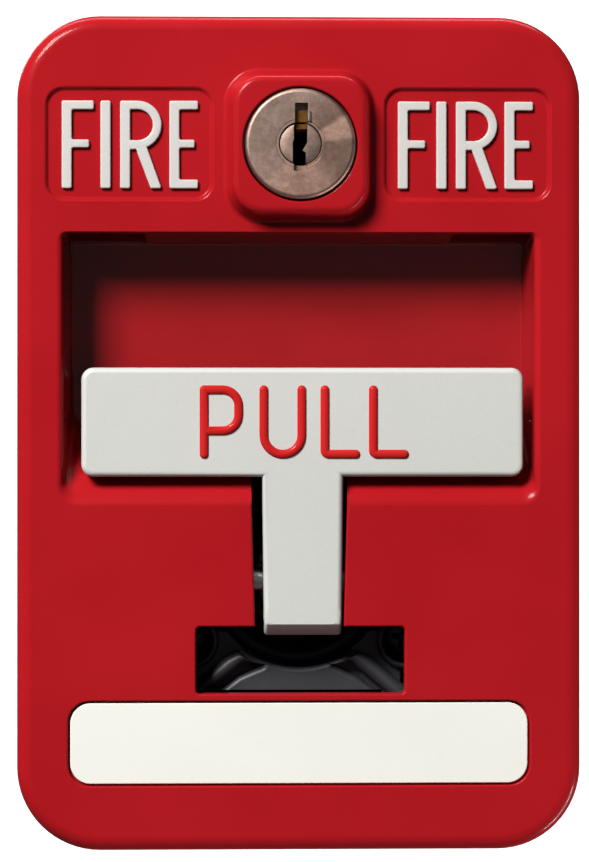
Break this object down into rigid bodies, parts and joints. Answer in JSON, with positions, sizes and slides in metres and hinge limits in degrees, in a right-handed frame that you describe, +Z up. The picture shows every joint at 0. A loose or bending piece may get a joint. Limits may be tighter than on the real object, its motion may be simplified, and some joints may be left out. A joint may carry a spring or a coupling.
{
  "type": "manual call point",
  "caption": "Pull-down manual fire call point: cast cover on a rear hinge with keyed cam lock, T-handle, and a toggle switch on a single-gang mounting plate.",
  "frame": {"origin": "centre of the mounting plate's rear face, on the wall plane", "axes": "+Z up, +X to the right seen from the front, front of the station faces -Y, +Y goes into the wall box"},
  "size_m": [0.084, 0.05, 0.124],
  "materials": {
    "red_enamel": "glossy red baked enamel on die casting",
    "handle_white": "satin off-white paint with fine texture",
    "label_white": "smooth off-white plate",
    "lock_nickel": "turned nickel-plated brass, worn warm",
    "zinc_plate": "zinc-plated sheet steel",
    "steel": "plated steel fastener",
    "spring_steel": "blued spring steel",
    "brass": "satin brass",
    "black_plastic": "glossy black moulding",
    "phenolic": "dark brown phenolic moulding",
    "lead_red": "PVC insulation",
    "lead_black": "PVC insulation",
    "lead_yellow": "PVC insulation",
    "ground_green": "green-dyed screw"
  },
  "bodies": {
    "base": {"mounting_plate": "zinc_plate", "hinge_pin_left": "steel", "hinge_pin_right": "steel", "box_screw_top": "steel", "box_screw_bottom": "steel", "ground_screw": "ground_green", "strike_bracket": "zinc_plate", "strike_rivet_left": "steel", "strike_rivet_right": "steel", "switch_carrier": "black_plastic", "carrier_screw_1": "steel", "carrier_screw_2": "steel", "carrier_screw_3": "steel", "carrier_screw_4": "steel", "switch_case": "phenolic", "switch_bushing": "steel", "bushing_nut": "steel", "bushing_washer": "spring_steel", "lug_common": "brass", "lug_normally_closed": "brass", "lug_normally_open": "brass", "terminal_block": "black_plastic", "terminal_clamp_1": "brass", "terminal_clamp_2": "brass", "terminal_clamp_3": "brass", "terminal_screw_1": "steel", "terminal_screw_2": "steel", "terminal_screw_3": "steel", "block_screw_left": "steel", "block_screw_right": "steel", "lead_black": "lead_black", "lead_yellow": "lead_yellow", "lead_red": "lead_red"},
    "cover": {"front_cover": "red_enamel", "label_plate": "label_white", "lock_barrel": "lock_nickel", "lock_nut": "steel", "handle_pin": "steel", "pin_clip_left": "spring_steel", "pin_clip_right": "spring_steel", "detent_spring": "spring_steel", "detent_screw": "steel", "rod_clip_left": "brass", "rod_clip_right": "brass", "rod_clip_screw_left": "steel", "rod_clip_screw_right": "steel"},
    "lock": {"lock_plug": "lock_nickel", "lock_wafer_1": "brass", "lock_wafer_2": "brass", "lock_wafer_3": "brass", "lock_cam": "steel", "cam_washer": "spring_steel", "cam_screw": "steel"},
    "handle": {"pull_handle": "handle_white"},
    "toggle": {"toggle_lever": "steel"},
    "contact": {"contact_rocker": "brass"}
  },
  "joints": [
    {"name": "cover_hinge", "type": "hinge", "parent": "base", "child": "cover", "pos_m": [0, -0.0032, -0.0592], "axis": [1, 0, 0], "range_deg": [0, 90]},
    {"name": "lock_turn", "type": "hinge", "parent": "cover", "child": "lock", "pos_m": [0, -0.0254, 0.04235], "axis": [0, 1, 0], "range_deg": [0, 90]},
    {"name": "handle_pull", "type": "hinge", "parent": "cover", "child": "handle", "pos_m": [0, -0.0199, -0.0219], "axis": [1, 0, 0], "range_deg": [0, 50]},
    {"name": "toggle_flip", "type": "hinge", "parent": "base", "child": "toggle", "pos_m": [0, -0.0046, -0.0219], "axis": [1, 0, 0], "range_deg": [-26, 0]},
    {"name": "contact_rock", "type": "hinge", "parent": "base", "child": "contact", "pos_m": [0, 0.0053, -0.0219], "axis": [1, 0, 0], "range_deg": [0, 16]}
  ],
  "couplings": [
    {"joint": "toggle_flip", "follows": "handle_pull", "ratio": -0.52},
    {"joint": "contact_rock", "follows": "handle_pull", "ratio": 0.32}
  ]
}
